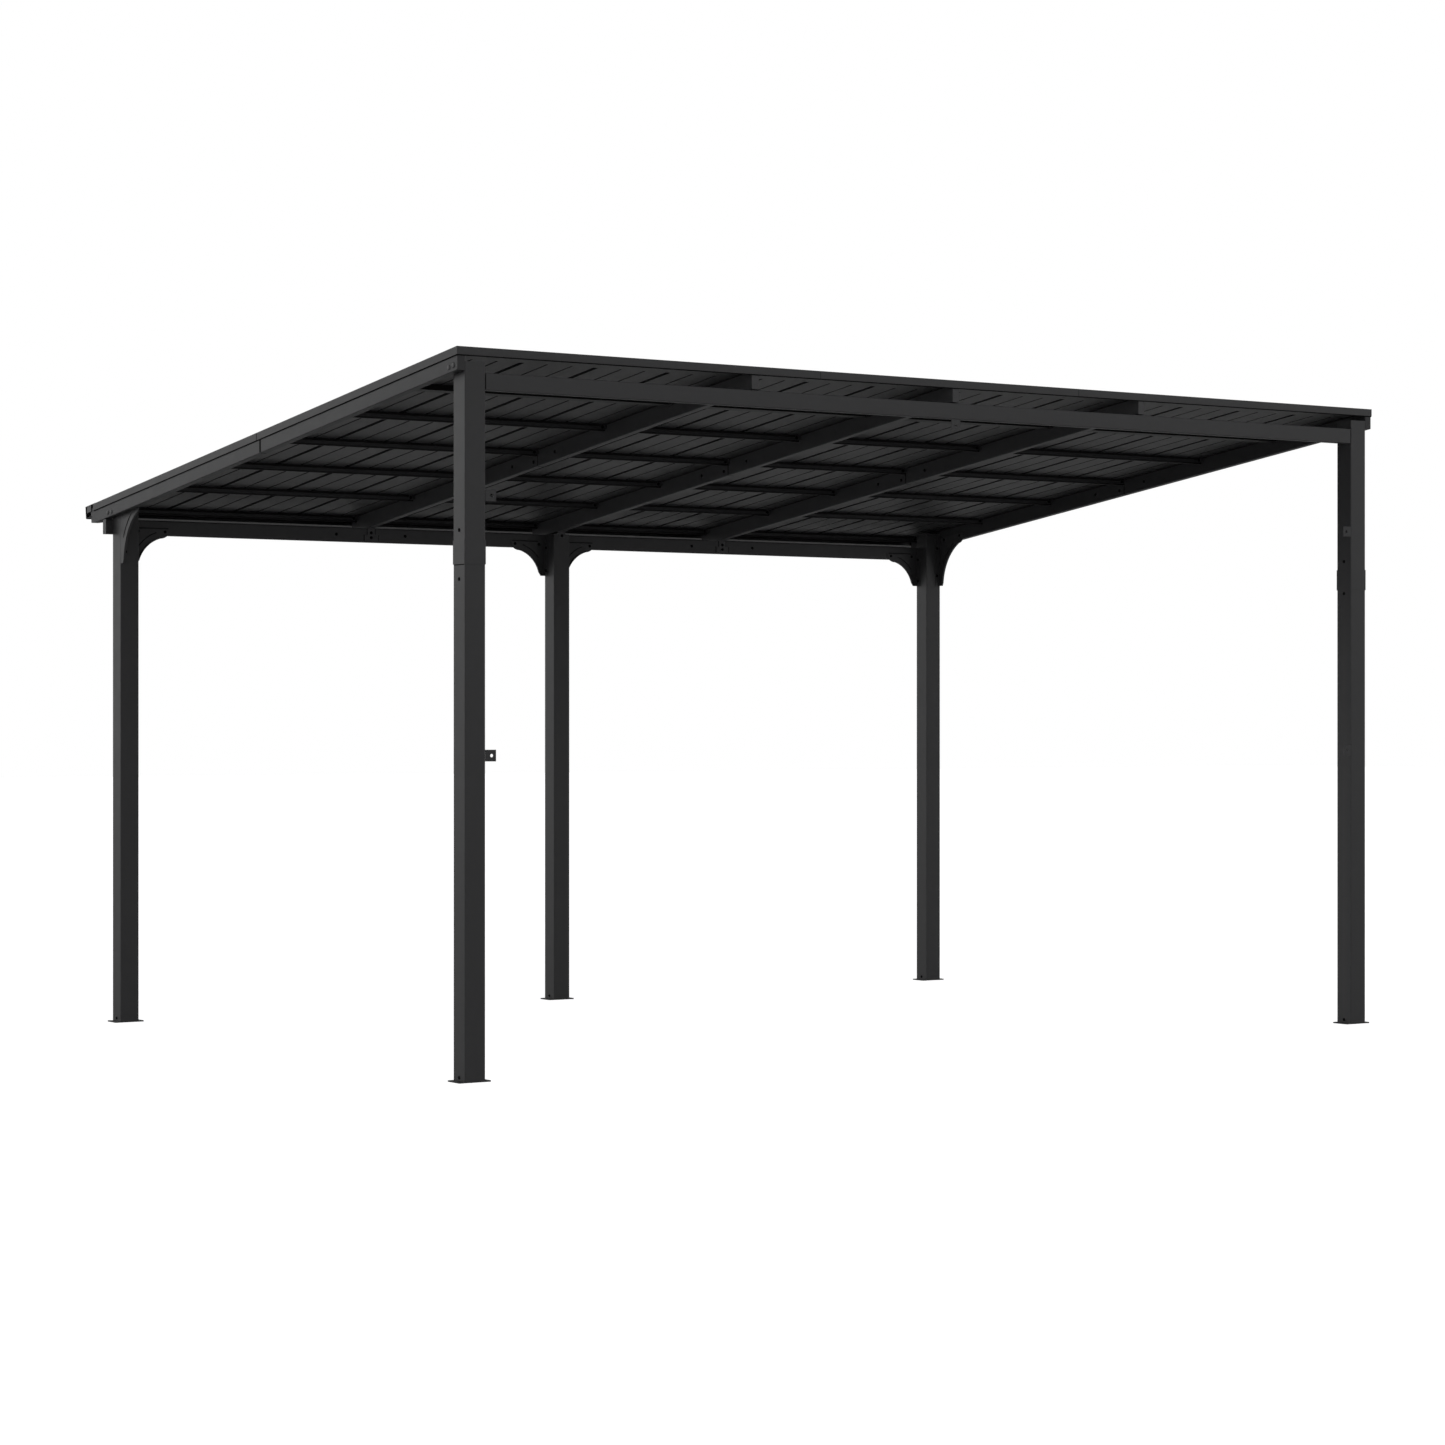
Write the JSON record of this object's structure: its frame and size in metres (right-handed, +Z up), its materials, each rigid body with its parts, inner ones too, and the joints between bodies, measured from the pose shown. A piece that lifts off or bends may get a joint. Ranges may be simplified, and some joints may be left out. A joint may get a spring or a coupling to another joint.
{
  "type": "lean-to hardtop gazebo",
  "caption": "Lean-to steel shelter for a house wall, with a sloping ribbed metal roof on posts with base plates and pressed corner braces.",
  "frame": {"origin": "on the floor, under the middle of the whole shelter", "axes": "+X along the house wall, +Y from the wall to the open front, +Z up"},
  "size_m": [4.271, 3.135, 2.5047],
  "materials": {
    "frame": "satin",
    "roof": "satin"
  },
  "bodies": {
    "root": {"eave_trim": "roof", "foot_front_left": "frame", "foot_front_middle": "frame", "foot_front_right": "frame", "foot_wall_left": "frame", "foot_wall_right": "frame", "front_beam_left": "frame", "front_beam_middle": "frame", "front_beam_right": "frame", "front_left_braces": "frame", "front_middle_braces": "frame", "front_post_left": "frame", "front_post_middle": "frame", "front_post_right": "frame", "front_right_braces": "frame", "purlin_brackets": "frame", "purlin_row_1": "frame", "purlin_row_2": "frame", "purlin_row_3": "frame", "purlin_row_4": "frame", "purlin_row_5": "frame", "purlin_row_6": "frame", "rafter_1_lower": "frame", "rafter_1_upper": "frame", "rafter_2_lower": "frame", "rafter_2_upper": "frame", "rafter_3_lower": "frame", "rafter_3_upper": "frame", "rafter_4_lower": "frame", "rafter_4_upper": "frame", "rafter_5_lower": "frame", "rafter_5_upper": "frame", "rafter_brackets": "frame", "roof_panels_even": "roof", "roof_panels_odd": "roof", "side_trim_left": "roof", "side_trim_right": "roof", "wall_beam": "frame", "wall_post_left_lower": "frame", "wall_post_left_upper": "frame", "wall_post_right_lower": "frame", "wall_post_right_upper": "frame", "wall_post_sleeves": "frame", "wall_tabs": "frame", "wall_trim": "roof"}
  },
  "joints": []
}
